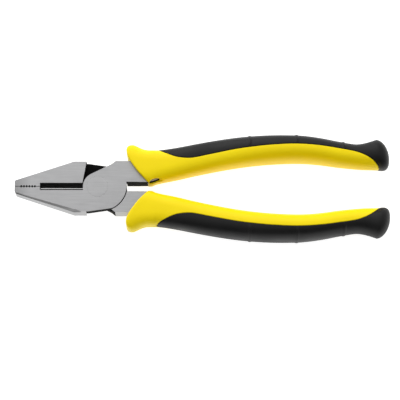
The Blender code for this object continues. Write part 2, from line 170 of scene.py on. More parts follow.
# Rounded edges, drawn in brighter steel as a painted highlight: width, and the angle from which an edge
# counts as sharp
EDGE_WIDTH = 0.16
EDGE_SEGMENTS = 2
EDGE_ANGLE = 28.0
PARTING_REACH = 0.6

# Finishes of the steel, by material slot, and what tells them apart; the rounded edges carry a painted
# highlight, and the jaw bevels and the cutter slot carry a painted shade
GROUND = 0
FORGED = 1
EDGE_HIGHLIGHT = 2
SHADED_FACETS = 3
LEVEL_FACING = 0.95
SLOPED_FACING = 0.2
SIDE_FACING = 0.5
FACE_BAND = 1.0
SURFACE_BAND = 0.1
NOSE_FACE_Y = -0.3
SHANK_HIDDEN_X = 34.0

# Grip: edges, half thickness and squareness along X
GRIP_OUTER = ((18.7, 23.85), (20.4, 23.5), (22, 22.75), (24.5, 21.55), (27, 20.9), (30, 20.8),
              (33, 20.9), (36.5, 21.3), (43, 22.35), (52, 24.1), (60, 25.6), (70, 27.2), (80, 28.45),
              (92, 29.25), (103, 29.4), (112, 29.1), (121.5, 27.9), (131, 26.1), (138, 24.9), (141, 24.6),
              (144.5, 25.0), (148, 25.9), (152, 27.25))
GRIP_INNER = ((28, 1.85), (30, 2.0), (31.6, 2.75), (33.2, 3.2), (36.5, 3.85), (43, 5.15), (52, 7.3),
              (60, 9.05), (70, 11.05), (80, 12.7), (92, 14.05), (103, 14.7), (112, 14.75),
              (121.5, 13.95), (131, 12.55), (138, 11.75), (144.5, 11.15), (152, 10.95))
GRIP_SIDE = ((15, 8.4), (25, 8.4), (34, 8.6), (43, 9.0), (60, 9.6), (70, 10.2), (80, 10.7), (95, 11.3),
             (108, 11.5), (120, 11.1), (130, 10.4), (141, 9.5), (148, 9.4), (152, 9.8))
GRIP_SQUARENESS = ((18.7, 4.0), (28, 3.6), (36, 3.0), (60, 2.8), (100, 2.5), (145, 2.3), (152, 2.3))

# The guard's front edge slants, so the first rings are fanned: X of the edge at each Y
GUARD_FRONT = ((1.85, 28.0), (2.4, 27.3), (3.6, 26.3), (5.9, 24.2), (7.9, 22.3), (11.3, 19.7),
               (13.6, 18.1), (16.0, 16.7), (17.4, 16.1), (19.6, 15.7), (21.0, 15.8), (22.1, 16.3),
               (23.1, 17.2), (23.85, 18.7))
FAN_START = 28.0
FAN_END = 37.0
FRONT_ROUND = 0.6
FRONT_STEPS = 6
FRONT_ROW_STEP = 0.45

# The rounded end, which sinks towards the inner side
KNOB_START = 152.0
KNOB_DROP = 3.25
KNOB_DROP_POWER = 1.6
KNOB_ROUNDNESS = 2.4
KNOB_STEPS = 16

# Two-colour moulding: the black overmold's edge in plan, the groove there, and the hidden core
COLOUR_EDGE = ((17.0, 36.0), (28.0, 24.7), (31.6, 21.6), (32.8, 20.75), (34.0, 19.95), (35.1, 19.3),
               (36.7, 18.55), (39.7, 17.15), (43.0, 16.0), (46.3, 15.45), (49.5, 15.25), (52.8, 15.5),
               (59.4, 16.85), (65.9, 18.15), (72.4, 19.45), (79.0, 20.55), (85.5, 21.35), (92.0, 22.05),
               (98.6, 22.5), (105.0, 22.8), (111.7, 22.75), (118.0, 22.35), (124.8, 21.6),
               (131.3, 20.6), (137.8, 19.55), (141.1, 18.8), (144.4, 17.6), (147.6, 15.9),
               (150.9, 13.4), (154.0, 10.2), (156.5, 7.2))
GROOVE_HALF_WIDTH = 0.05
GROOVE_ROUND = 0.35
CORE_DEPTH = 2.0
CORE_CLEARANCE = 0.15
CORE_END = 148.0
RIB_PLACES = (82.8, 108.4, 134.0)
RIB_HALF_WIDTH = 1.3
RIB_HEIGHT = 0.32
RIB_FADE = 2.5
NOTCH_CENTRE = (32.9, 1.6)
NOTCH_RADII = (4.9, 3.0)
NOTCH_FLOOR = 2.0

# Ground steel is drawn darker towards the nose
NOSE_DARKENING = 0.78
NOSE_DARKENING_LENGTH = 9.0

# Darker and brighter steel, for the ground faces and for a darker copy that paints shade on the jaw
# bevels and in the cutter slot
GROUND_COLOURS = ((0.36, 0.36, 0.365), (0.43, 0.43, 0.435))
SHADED_FACET_COLOURS = ((0.16, 0.16, 0.16), (0.26, 0.26, 0.262))

# The studio's strength towards the camera's side and on the others, and the Y directions between which
# it changes
STUDIO_DIM = 0.06
STUDIO_BRIGHT = 0.85
STUDIO_DIM_Y = -0.95
STUDIO_BRIGHT_Y = 0.1

# How finely the grip is drawn
ROW_STEP = 1.7
TIP_SPAN = 9.0
TIP_ROWS = 14
RIB_ROWS = 10
QUARTER_SAMPLES = 300
EDGE_COLUMNS = (0.0, 0.05, 0.12, 0.22, 0.35, 0.6, 1.0)
OUTER_COLUMNS = 26
INNER_COLUMNS = 36
CORE_COLUMNS = 8
RING_MARGIN = 0.03
NORMAL_STEP = 0.01
SLOPE_STEP = 0.05
LEAST_STEEPNESS = 0.05
SEARCH_STEPS = 40
BLACK_START_LIMIT = 60.0
YELLOW_END_LIMIT = 145.0
MIRROR = np.array([1.0, 1.0, -1.0])

# Cutters reach this far past the faces that they cut
OVERCUT = 1.5
FAR_SIDE = 40.0

# Camera, aimed at a point of the lap plane, and turned a little about its own axis
CAMERA_AIM = (55.8, -6.23)
CAMERA_ROLL = 0.11
CAMERA_ELEVATION = 77.4
CAMERA_DISTANCE = 1200.0
VIEW_WIDTH = 218.0
SENSOR_WIDTH = 36.0

# Key light, in metres and watts
KEY_PLACE = (-0.4, 1.3, 1.1)
KEY_SIZE = 1.8
KEY_POWER = 18.0

FLOOR_SIZE = 8000.0
FLOOR_GLOW = 0.9


def smooth(keys, position):
    """Read the curve through the keys: cubic pieces, each key's slope taken across its neighbours."""
    places, values = np.array(keys, float).T
    position = np.clip(position, places[0], places[-1])
    before = np.concatenate((places[:1], places[:-1]))
    after = np.concatenate((places[1:], places[-1:]))
    fall = np.concatenate((values[:1], values[:-1]))
    rise = np.concatenate((values[1:], values[-1:]))
    slopes = (rise - fall) / (after - before)
    index = np.clip(np.searchsorted(places, position) - 1, 0, len(places) - 2)
    span = places[index + 1] - places[index]
    part = (position - places[index]) / span
    value = values[index] * (1 + 2 * part) * (1 - part) ** 2
    value = value + values[index + 1] * part ** 2 * (3 - 2 * part)
    bend = slopes[index] * (1 - part) - slopes[index + 1] * part
    return value + span * part * (1 - part) * bend


def arc(centre, radius, start, end, steps):
    """Points on a circle from one angle to another."""
    points = []
    for step in range(steps + 1):
        angle = math.radians(start + (end - start) * step / steps)
        points.append((centre[0] + radius * math.cos(angle), centre[1] + radius * math.sin(angle)))
    return points


def rounded(before, corner, after, radius, steps):
    """Points of the fillet that replaces a corner of an outline."""
    to_before = math.atan2(before[1] - corner[1], before[0] - corner[0])
    to_after = math.atan2(after[1] - corner[1], after[0] - corner[0])
    turn = math.remainder(to_after - to_before, 2 * math.pi)
    middle = to_before + turn / 2
    reach = radius / abs(math.sin(turn / 2))
    centre = (corner[0] + reach * math.cos(middle), corner[1] + reach * math.sin(middle))
    sweep = math.degrees(math.copysign(math.pi - abs(turn), turn))
    facing = math.degrees(middle) + 180
    return arc(centre, radius, facing + sweep / 2, facing - sweep / 2, steps)


def stations(start, end, step):
    """Even places from start to end, about one step apart."""
    return np.linspace(start, end, max(1, round((end - start) / step)) + 1)


# Solids


def mesh_object(name, mesh):
    """Add an object for a mesh to the scene."""
    piece = bpy.data.objects.new(name, mesh)
    bpy.context.scene.collection.objects.link(piece)
    return piece


def settled(name, source):
    """Turn an object's evaluated form into a welded mesh object, and remove the source."""
    bpy.context.view_layer.update()
    view = bpy.context.evaluated_depsgraph_get()
    mesh = bpy.data.meshes.new_from_object(source.evaluated_get(view))
    mesh.transform(source.matrix_world)
    body = bmesh.new()
    body.from_mesh(mesh)
    bmesh.ops.remove_doubles(body, verts=body.verts, dist=MERGED * MM)
    bmesh.ops.recalc_face_normals(body, faces=body.faces)
    body.to_mesh(mesh)
    body.free()
    bpy.data.objects.remove(source, do_unlink=True)
    return mesh_object(name, mesh)


def prism(name, outline, low, high, axis):
    """Raise a flat outline from low to high: (x, y) along Z, (x, z) along Y, or (y, z) along X."""
    curve = bpy.data.curves.new(name, "CURVE")
    curve.dimensions = "2D"
    curve.fill_mode = "BOTH"
    curve.extrude = (high - low) / 2 * MM
    spline = curve.splines.new("POLY")
    spline.points.add(len(outline) - 1)
    for point, (first, second) in zip(spline.points, outline):
        point.co = (first * MM, second * MM, 0.0, 1.0)
    spline.use_cyclic_u = True
    flat = mesh_object(name + "_outline", curve)
    middle = (low + high) / 2 * MM
    quarter = math.pi / 2
    if axis == "Z":
        flat.location = (0.0, 0.0, middle)
    elif axis == "Y":
        flat.location = (0.0, middle, 0.0)
        flat.rotation_euler = (quarter, 0.0, 0.0)
    else:
        flat.location = (middle, 0.0, 0.0)
        flat.rotation_euler = (quarter, 0.0, quarter)
    return settled(name, flat)


def lathe(name, profile):
    """Turn a profile of (radius, height) about Z; it runs down the outer side."""
    mesh = bpy.data.meshes.new(name)
    points = [(radius * MM, 0.0, height * MM) for radius, height in profile]
    mesh.from_pydata(points, [(index, index + 1) for index in range(len(points) - 1)], [])
    line = mesh_object(name + "_profile", mesh)
    screw = line.modifiers.new("turn", "SCREW")
    screw.steps = ROUND_STEPS
    screw.render_steps = ROUND_STEPS
    screw.use_merge_vertices = True
    screw.merge_threshold = LATHE_MERGED * MM
    return settled(name, line)


def ring_solid(name, rings, front_cap):
    """Join closed rings of points into one welded solid; the front cap is a ladder of quads."""
    count = rings.shape[1]
    body = bmesh.new()
    rows = [[body.verts.new(point * MM) for point in ring] for ring in rings]
    for row, following in zip(rows, rows[1:]):
        for index in range(count):
            ahead = (index + 1) % count
            body.faces.new((row[index], row[ahead], following[ahead], following[index]))
    if front_cap:
        first = rows[0]
        for index in range(count // 2):
            ends = (first[index], first[index + 1], first[-index - 1], first[-index])
            body.faces.new(list(dict.fromkeys(ends)))
    bmesh.ops.remove_doubles(body, verts=body.verts, dist=RING_MERGED * MM)
    bmesh.ops.dissolve_degenerate(body, edges=body.edges, dist=MERGED * MM)
    bmesh.ops.recalc_face_normals(body, faces=body.faces)
    mesh = bpy.data.meshes.new(name)
    body.to_mesh(mesh)
    body.free()
    return mesh_object(name, mesh)


def combine(base, tool, operation):
    """Cut, join or intersect a solid with a tool, then remove the tool."""
    change = base.modifiers.new(operation.lower(), "BOOLEAN")
    change.solver = "EXACT"
    change.operation = operation
    change.object = tool
    bpy.context.view_layer.update()
    view = bpy.context.evaluated_depsgraph_get()
    mesh = bpy.data.meshes.new_from_object(base.evaluated_get(view))
    base.modifiers.remove(change)
    base.data = mesh
    bpy.data.objects.remove(tool, do_unlink=True)


# Steel


def tang_outline(clearance):
    """Both edges of the tang, from the shank's inner edge round the end to its outer edge."""
    inner_start, end = TANG_INNER[0][0], TANG_INNER[-1][0]
    outer_start = TANG_OUTER[0][0]
    points = [(x, smooth(TANG_INNER, x) - clearance) for x in stations(inner_start, end, TANG_STEP)]
    low, high = points[-1][1], TANG_OUTER[-1][1] + clearance
    points += arc((end, (low + high) / 2), (high - low) / 2, -90.0, 90.0, FILLET_STEPS)[1:-1]
    back = stations(outer_start, end, TANG_STEP)[::-1]
    points += [(x, smooth(TANG_OUTER, x) + clearance) for x in back]
    return points


def half_outline():
    """Plan outline of a steel half, counter-clockwise from the nose."""
    parting = -JAW_GAP / 2
    points = [(NOSE_X, parting)]
    points += rounded((NOSE_X, 0.0), FLANK_START, FLANK_END, NOSE_CORNER_RADIUS, FILLET_STEPS)
    points += [FLANK_END, JAW_HEEL, JAW_STEP]
    boss_end = math.degrees(math.asin((SHANK_INNER - BOSS_CENTRE[1]) / BOSS_RADIUS))
    points += arc(BOSS_CENTRE, BOSS_RADIUS, BOSS_START_ANGLE, boss_end, ARC_STEPS)
    points += tang_outline(0.0)
    shank_end = (TANG_OUTER[0][0], SHANK_OUTER)
    points += rounded(shank_end, SHANK_START, STOP_CORNER, SHANK_CORNER_RADIUS, FILLET_STEPS)
    points.append(STOP_CORNER)
    corner_angle = math.atan2(STOP_CORNER[1], STOP_CORNER[0])
    tangent_angle = corner_angle + math.acos(STOP_RADIUS / math.hypot(*STOP_CORNER))
    points += arc((0.0, 0.0), STOP_RADIUS, math.degrees(tangent_angle), 180.0, ARC_STEPS)
    points.append((-STOP_RADIUS, parting))
    return points


def side_outline(start, clearance):
    """Side outline, in X and Z, that thins the tang."""
    top = [(start, HALF_THICKNESS + clearance)] + [(x, half + clearance) for x, half in TANG_SIDE]
    return top + [(x, -height) for x, height in reversed(top)]


def lap_outline():
    """Plan outline of the recess that the other half's boss turns in."""
    centre = (BOSS_CENTRE[0], -BOSS_CENTRE[1])
    radius = BOSS_RADIUS + SHOULDER_CLEARANCE
    shoulder_end = math.degrees(math.asin((SHANK_INNER - centre[1]) / radius))
    points = [(JAW_BACK_X, RECESS_REACH), (RECESS_FRONT_X, RECESS_REACH)]
    points += arc(centre, radius, RECESS_START_ANGLE, shoulder_end, ARC_STEPS)
    points += [(RECESS_BACK_X, SHANK_INNER - INNER_EDGE_SLACK), (RECESS_BACK_X, -RECESS_REACH)]
    points += [JAW_BACK_FOOT, (JAW_BACK_X, JAW_BACK_TOP)]
    return points


def blade_outline():
    """Section, in Y and Z, of the slot that leaves a cutting edge in the lap plane."""
    top = HALF_THICKNESS + OVERCUT
    side = [(-SLOT_DEPTH, top), (-SLOT_DEPTH, HALF_THICKNESS), (-SLOT_WALL_DEPTH, SLOT_WALL_HEIGHT)]
    side.append((-EDGE_SETBACK, BLADE_LAND))
    points = [(OVERCUT, top)] + side + [(y, -z) for y, z in reversed(side)]
    points.append((OVERCUT, -top))
    return points


def tooth_outline():
    """Comb of V grooves, in plan, that leaves the gripping teeth."""
    crest = -EDGE_SETBACK
    points = [(TOOTH_FIRST - TOOTH_PITCH, OVERCUT), (TOOTH_FIRST - TOOTH_PITCH, crest)]
    for tooth in range(TOOTH_COUNT):
        middle = TOOTH_FIRST + tooth * TOOTH_PITCH
        root = (middle, crest - TOOTH_DEPTH)
        points += [(middle - TOOTH_DEPTH, crest), root, (middle + TOOTH_DEPTH, crest)]
    end = TOOTH_FIRST + TOOTH_COUNT * TOOTH_PITCH
    points += [(end, crest), (end, OVERCUT)]
    return points


def bevel_wedge(name):
    """The wedge that grinds the bevel between a jaw's boss-side face and its flank."""
    rings = []
    top = HALF_THICKNESS + BEVEL_OVERCUT
    foot = HALF_THICKNESS - BEVEL_HEIGHT - BEVEL_OVERCUT
    for x, face, flank in BEVEL_STATIONS:
        lean = (flank - face) / BEVEL_HEIGHT * BEVEL_OVERCUT
        far = flank + BEVEL_CUTTER_WIDTH
        section = [(face - lean, top), (flank + lean, foot), (far, foot), (far, top)]
        rings.append([(x, -y, z) for y, z in section])
    body = bmesh.new()
    rows = [[body.verts.new(Vector(point) * MM) for point in ring] for ring in rings]
    for row, following in zip(rows, rows[1:]):
        for index in range(len(row)):
            ahead = (index + 1) % len(row)
            body.faces.new((row[index], row[ahead], following[ahead], following[index]))
    body.faces.new(rows[0])
    body.faces.new(rows[-1])
    bmesh.ops.recalc_face_normals(body, faces=body.faces)
    mesh = bpy.data.meshes.new(name)
    body.to_mesh(mesh)
    body.free()
    return mesh_object(name, mesh)


def rivet_profile(clearance, overcut):
    """Profile of the rivet's hole, or of a plain rivet."""
    head = RIVET_HEAD_RADIUS + clearance
    neck = RIVET_RADIUS + clearance
    neck_height = HALF_THICKNESS - RIVET_HEAD_DEPTH
    side = [(0.0, HALF_THICKNESS + overcut), (head, HALF_THICKNESS + overcut), (head, HALF_THICKNESS),
            (neck, neck_height)]
    return side + [(radius, -height) for radius, height in reversed(side)]


def steel_finish(centre, normal):
    """Which finish a steel face has, before its edges are rounded."""
    if abs(normal.z) > LEVEL_FACING and centre.x < SHANK_HIDDEN_X:
        return GROUND if abs(centre.z) > HALF_THICKNESS - FACE_BAND else FORGED
    on_bevel = abs(normal.z) > SLOPED_FACING and centre.y < -SLOT_DEPTH and centre.x < JAW_HEEL[0]
    along_slot = SLOT_START - SURFACE_BAND < centre.x < SLOT_END + SURFACE_BAND
    in_slot = along_slot and -SLOT_DEPTH - SURFACE_BAND < centre.y < 0.0
    # The jaw bevels and the cutter slot get steel drawn darker: painted shade
    if on_bevel or in_slot:
        return SHADED_FACETS
    on_flank = normal.y < -SIDE_FACING and centre.x < JAW_HEEL[0]
    on_shank = normal.y > SIDE_FACING and centre.y > SHANK_OUTER - SURFACE_BAND
    on_nose = centre.x < NOSE_X + NOSE_CORNER_RADIUS and centre.y < NOSE_FACE_Y
    return GROUND if on_flank or on_shank or on_nose else FORGED


def make_steel_half(name):
    """Forge one half: outline and thickness, lap recess, rivet hole, blade, teeth and bevels."""
    thick = HALF_THICKNESS + OVERCUT
    half = prism(name, half_outline(), -thick, thick, "Z")
    side = side_outline(NOSE_X - OVERCUT, 0.0)
    combine(half, prism("side", side, -FAR_SIDE, FAR_SIDE, "Y"), "INTERSECT")
    combine(half, prism("recess", lap_outline(), -thick, LAP_GAP / 2, "Z"), "DIFFERENCE")
    combine(half, lathe("hole", rivet_profile(RIVET_CLEARANCE, OVERCUT)), "DIFFERENCE")
    combine(half, prism("slot", blade_outline(), SLOT_START, SLOT_END, "X"), "DIFFERENCE")
    combine(half, prism("teeth", tooth_outline(), -thick, thick, "Z"), "DIFFERENCE")
    combine(half, bevel_wedge("bevel"), "DIFFERENCE")
    return half


def finish_steel(half, finishes):
    """Give every face its finish, round the edges, and keep the edges' painted highlight off the parting
    line.
    """
    half.data.materials.clear()
    for finish in finishes:
        half.data.materials.append(finish)
    for face in half.data.polygons:
        face.material_index = steel_finish(face.center / MM, face.normal)
    shade(half)
    round_edges(half, EDGE_WIDTH, EDGE_HIGHLIGHT)
    for face in half.data.polygons:
        in_gap = face.center.y > -PARTING_REACH * MM and face.center.x < -STOP_RADIUS * MM
        if face.material_index == EDGE_HIGHLIGHT and in_gap:
            face.material_index = FORGED


def applied(piece):
    """Replace a piece's mesh by its evaluated one, and drop its modifiers."""
    bpy.context.view_layer.update()
    view = bpy.context.evaluated_depsgraph_get()
    mesh = bpy.data.meshes.new_from_object(piece.evaluated_get(view))
    piece.modifiers.clear()
    piece.data = mesh


def cleaned(piece, distance):
    """Merge points closer than a distance, in millimetres, and drop the slivers this leaves."""
    body = bmesh.new()
    body.from_mesh(piece.data)
    bmesh.ops.remove_doubles(body, verts=body.verts, dist=distance * MM)
    bmesh.ops.dissolve_degenerate(body, edges=body.edges, dist=distance * MM)
    body.to_mesh(piece.data)
    body.free()


def round_edges(piece, width, material_index):
    """Round a piece's edges a little, and give them brighter steel as a painted highlight."""
    cleaned(piece, SLIVER)
    edges = piece.modifiers.new("highlight_edges", "BEVEL")
    edges.width = width * MM
    edges.segments = EDGE_SEGMENTS
    edges.limit_method = "ANGLE"
    edges.angle_limit = math.radians(EDGE_ANGLE)
    edges.use_clamp_overlap = True
    edges.harden_normals = True
    edges.material = material_index
    applied(piece)
    cleaned(piece, MERGED)


def make_rivet(name):
    """The rivet, its heads ground almost flush and slightly crowned."""
    top = HALF_THICKNESS
    edge = RIVET_HEAD_RADIUS - RIVET_EDGE_ROUND
    crown = [(edge * step / FILLET_STEPS, top - RIVET_CROWN * (step / FILLET_STEPS) ** 2)
             for step in range(FILLET_STEPS + 1)]
    corner_centre = (edge, top - RIVET_CROWN - RIVET_EDGE_ROUND)
    corner = arc(corner_centre, RIVET_EDGE_ROUND, 90.0, 0.0, FILLET_STEPS)
    side = crown + corner[1:] + [(RIVET_RADIUS, top - RIVET_HEAD_DEPTH)]
    return lathe(name, side + [(radius, -height) for radius, height in reversed(side)])


# Grip


def grip_surface(base, angle, inset=0.0):
    """Points of the grip's surface: base is the place along it, and angle runs round the section, from 0
    at the outer edge to pi at the inner edge. Ahead of FAN_END the rings lean to the guard's front edge,
    and past KNOB_START they shrink to the rounded end."""
    fan = np.clip((FAN_END - base) / (FAN_END - FAN_START), 0.0, 1.0)
    outer_base = base - fan * (FAN_START - GRIP_OUTER[0][0])
    inner = smooth(GRIP_INNER, base) + inset
    outer = smooth(GRIP_OUTER, outer_base) - inset
    power = 2 / smooth(GRIP_SQUARENESS, outer_base)
    across = np.sign(np.cos(angle)) * np.abs(np.cos(angle)) ** power
    up = np.abs(np.sin(angle)) ** power
    y = inner + (across + 1) / 2 * (outer - inner)
    share = (y - inner + inset) / (outer - inner + 2 * inset)
    low, high = GUARD_FRONT[0][0], GUARD_FRONT[-1][0]
    front = smooth(GUARD_FRONT, low + share * (high - low))
    x = np.minimum(base, KNOB_START) + fan * (front - FAN_START)
    z = up * (smooth(GRIP_SIDE, x) - inset)
    along = np.clip((base - KNOB_START) / (KNOB_END - KNOB_START), 0.0, 1.0)
    scale = (1 - along ** KNOB_ROUNDNESS) ** (1 / KNOB_ROUNDNESS)
    middle = (inner + outer) / 2
    y = middle - KNOB_DROP * along ** KNOB_DROP_POWER + (y - middle) * scale
    return np.stack((x + along * (KNOB_END - KNOB_START), y, z * scale), axis=-1)


def beyond_edge(points):
    """How far points lie, in Y, on the black side of the colour edge."""
    return points[..., 1] - smooth(COLOUR_EDGE, points[..., 0])


def first_base(low, high, angle, offset):
    """The place along the grip, between low and high, where the black side reaches this angle."""
    for _ in range(SEARCH_STEPS):
        middle = (low + high) / 2
        if beyond_edge(grip_surface(np.array([middle]), np.array([angle])))[0] > offset:
            high = middle
        else:
            low = middle
    return (low + high) / 2


def grip_bases(black_start, yellow_end):
    """Every ring's place along the grip, closer together where the surface turns quickly."""
    fractions = np.arange(1, TIP_ROWS + 1) / TIP_ROWS
    places = [stations(FAN_START + FRONT_ROUND, black_start, FRONT_ROW_STEP)]
    places.append(black_start + TIP_SPAN * fractions ** 2)
    places.append(stations(black_start + TIP_SPAN, KNOB_START - TIP_SPAN, ROW_STEP))
    for rib in RIB_PLACES:
        places.append(np.linspace(rib - RIB_HALF_WIDTH, rib + RIB_HALF_WIDTH, RIB_ROWS + 1))
    places.append(yellow_end - TIP_SPAN * fractions ** 2)
    places.append([CORE_END, yellow_end])
    knob = 1 - np.linspace(1, 0, KNOB_STEPS + 1) ** 2
    places.append(yellow_end + (KNOB_END - yellow_end) * knob)
    bases = np.unique(np.round(np.concatenate(places), 3))
    keep = [bases[0]]
    for base in bases[1:]:
        if base - keep[-1] > RING_MARGIN:
            keep.append(base)
    keep[-1] = KNOB_END
    return np.array(keep)


class Section:
    """Half of one ring of the grip, sampled finely from the outer edge to the inner edge."""

    def __init__(self, base, inset=0.0):
        """Sample the ring, its surface normals and the distance along it."""
        quarter = np.linspace(0.0, 1.0, QUARTER_SAMPLES)
        eased = quarter ** 2 * (3 - 2 * quarter) * math.pi / 2
        angle = np.concatenate((eased, eased[1:] + math.pi / 2))
        ahead = min(base + NORMAL_STEP, KNOB_END - NORMAL_STEP)
        self.points = grip_surface(np.full_like(angle, base), angle, inset)
        along = grip_surface(np.full_like(angle, ahead), angle, inset)
        along = along - grip_surface(np.full_like(angle, ahead - 2 * NORMAL_STEP), angle, inset)
        around = np.gradient(self.points, axis=0)
        normals = np.cross(around, along)
        lengths = np.linalg.norm(normals, axis=1)
        lengths[lengths == 0] = 1.0
        self.normals = normals / lengths[:, None]
        steps = np.linalg.norm(np.diff(self.points, axis=0), axis=1)
        self.distance = np.concatenate(([0.0], np.cumsum(steps)))
        self.length = self.distance[-1]

    def edge(self, offset):
        """Distance along the section of the colour edge, moved by an offset to the black side."""
        side = beyond_edge(self.points) - offset
        if side[0] <= 0:
            return 0.0
        yellow = np.nonzero(side <= 0)[0]
        if len(yellow) == 0:
            return self.length
        index = yellow[0]
        part = side[index - 1] / (side[index - 1] - side[index])
        return self.distance[index - 1] + part * (self.distance[index] - self.distance[index - 1])

    def at(self, distance):
        """Points and normals at distances along the section."""
        points = [np.interp(distance, self.distance, self.points[:, axis]) for axis in range(3)]
        normals = [np.interp(distance, self.distance, self.normals[:, axis]) for axis in range(3)]
        return np.stack(points, axis=-1), np.stack(normals, axis=-1)


def groove_depth(points, normals):
    """How far the surface rolls down into the groove along the colour edge."""
    x = points[:, 0]
    rise = smooth(COLOUR_EDGE, x + SLOPE_STEP) - smooth(COLOUR_EDGE, x - SLOPE_STEP)
    slope = rise / (2 * SLOPE_STEP)
    gradient = np.stack((-slope, np.ones_like(slope), np.zeros_like(slope)), axis=-1)
    gradient = gradient - normals * np.sum(gradient * normals, axis=1)[:, None]
    steepness = np.maximum(np.linalg.norm(gradient, axis=1), LEAST_STEEPNESS)
    away = np.abs(beyond_edge(points)) / steepness - GROOVE_HALF_WIDTH
    away = np.clip(away, 0.0, GROOVE_ROUND)
    return GROOVE_ROUND - np.sqrt(GROOVE_ROUND ** 2 - (GROOVE_ROUND - away) ** 2)


def rib_height(points):
    """Height of the raised ribs across the black side."""
    height = np.zeros(len(points))
    for rib in RIB_PLACES:
        share = np.clip(np.abs(points[:, 0] - rib) / RIB_HALF_WIDTH, 0.0, 1.0)
        height = height + RIB_HEIGHT * (1 + np.cos(math.pi * share)) / 2
    fade = np.clip(beyond_edge(points) / RIB_FADE, 0.0, 1.0)
    return height * fade ** 2 * (3 - 2 * fade)


def columns(length, count):
    """Distances from the colour edge at which a ring has points: close together beside the groove."""
    near = np.array(EDGE_COLUMNS) * min(1.0, length / (2 * EDGE_COLUMNS[-1]))
    return np.concatenate((near, np.linspace(near[-1], length, count + 1)[1:]))


def hidden_side(section, edge, corner, depth):
    """The unseen side of a ring, edge to edge: over the core if there is one, else straight across."""
    if section.points[0][0] > CORE_END:
        share = np.linspace(1.0, -1.0, 2 * CORE_COLUMNS)
        return corner * np.stack((np.ones_like(share), np.ones_like(share), share), axis=-1)
    points, normals = section.at(np.linspace(edge, 0.0, CORE_COLUMNS))
    points = points - normals * depth
    points[-1][2] = 0.0
    return np.concatenate((points, points[::-1] * MIRROR))


def closed_ring(visible, hidden):
    """One ring: from its middle to the colour edge, along the hidden side, and mirrored back."""
    return np.concatenate((visible, hidden, (visible[::-1] * MIRROR)[:-1]))


def overmold_ring(base):
    """One ring of the black side."""
    section = Section(base)
    edge = section.edge(GROOVE_HALF_WIDTH)
    points, normals = section.at((edge - columns(edge, OUTER_COLUMNS))[::-1])
    points = points + normals * (rib_height(points) - groove_depth(points, normals))[:, None]
    points[0][2] = 0.0
    if edge < section.length:
        return closed_ring(points, hidden_side(section, edge, points[-1], CORE_DEPTH - CORE_CLEARANCE))
    points[-1][2] = 0.0
    return closed_ring(points, np.repeat(points[-1:], 2 * CORE_COLUMNS, axis=0))


def sleeve_ring(base, inset=0.0):
    """One ring of the yellow side."""
    section = Section(base, inset)
    edge = section.edge(-GROOVE_HALF_WIDTH)
    points, normals = section.at((edge + columns(section.length - edge, INNER_COLUMNS))[::-1])
    points = points - normals * groove_depth(points, normals)[:, None]
    points[0][2] = 0.0
    if edge > 0.0:
        return closed_ring(points, hidden_side(section, edge, points[-1], CORE_DEPTH + CORE_CLEARANCE))
    points[-1][2] = 0.0
    return closed_ring(points, np.repeat(points[-1:], 2 * CORE_COLUMNS, axis=0))


def make_overmold(name, bases, start):
    """The black outer side and end knob, with its ribs."""
    places = np.concatenate(([start], bases[bases > start + RING_MARGIN]))
    return ring_solid(name, np.array([overmold_ring(base) for base in places]), False)


def make_sleeve(name, bases, end):
    """The yellow inner side, the guard, and the core under the overmold, bored for the tang."""
    rings = []
    for step in range(FRONT_STEPS):
        angle = math.pi / 2 * step / FRONT_STEPS
        inset = FRONT_ROUND * (1 - math.sin(angle))
        rings.append(sleeve_ring(FAN_START + FRONT_ROUND * (1 - math.cos(angle)), inset))
    places = np.concatenate((bases[bases < end - RING_MARGIN], [end]))
    rings += [sleeve_ring(base) for base in places]
    sleeve = ring_solid(name, np.array(rings), True)
    combine(sleeve, make_cavity(), "DIFFERENCE")
    notch = []
    for x, y in arc((0.0, 0.0), 1.0, 0.0, 360.0, ARC_STEPS)[:-1]:
        notch.append((NOTCH_CENTRE[0] + x * NOTCH_RADII[0], NOTCH_CENTRE[1] + y * NOTCH_RADII[1]))
    combine(sleeve, prism("notch", notch, NOTCH_FLOOR, FAR_SIDE / 2, "Z"), "DIFFERENCE")
    cleaned(sleeve, MERGED)
    return sleeve


def make_cavity():
    """Room for the shank and the tang."""
    outline = [(0.0, 0.0), (TANG_INNER[0][0], 0.0)] + tang_outline(CAVITY_CLEARANCE)
    outline.append((0.0, SHANK_OUTER + CAVITY_CLEARANCE))
    cavity = prism("cavity", outline, -FAR_SIDE / 2, FAR_SIDE / 2, "Z")
    side = prism("cavity_side", side_outline(-OVERCUT, CAVITY_CLEARANCE), -FAR_SIDE, FAR_SIDE, "Y")
    combine(cavity, side, "INTERSECT")
    return cavity


# Finishes


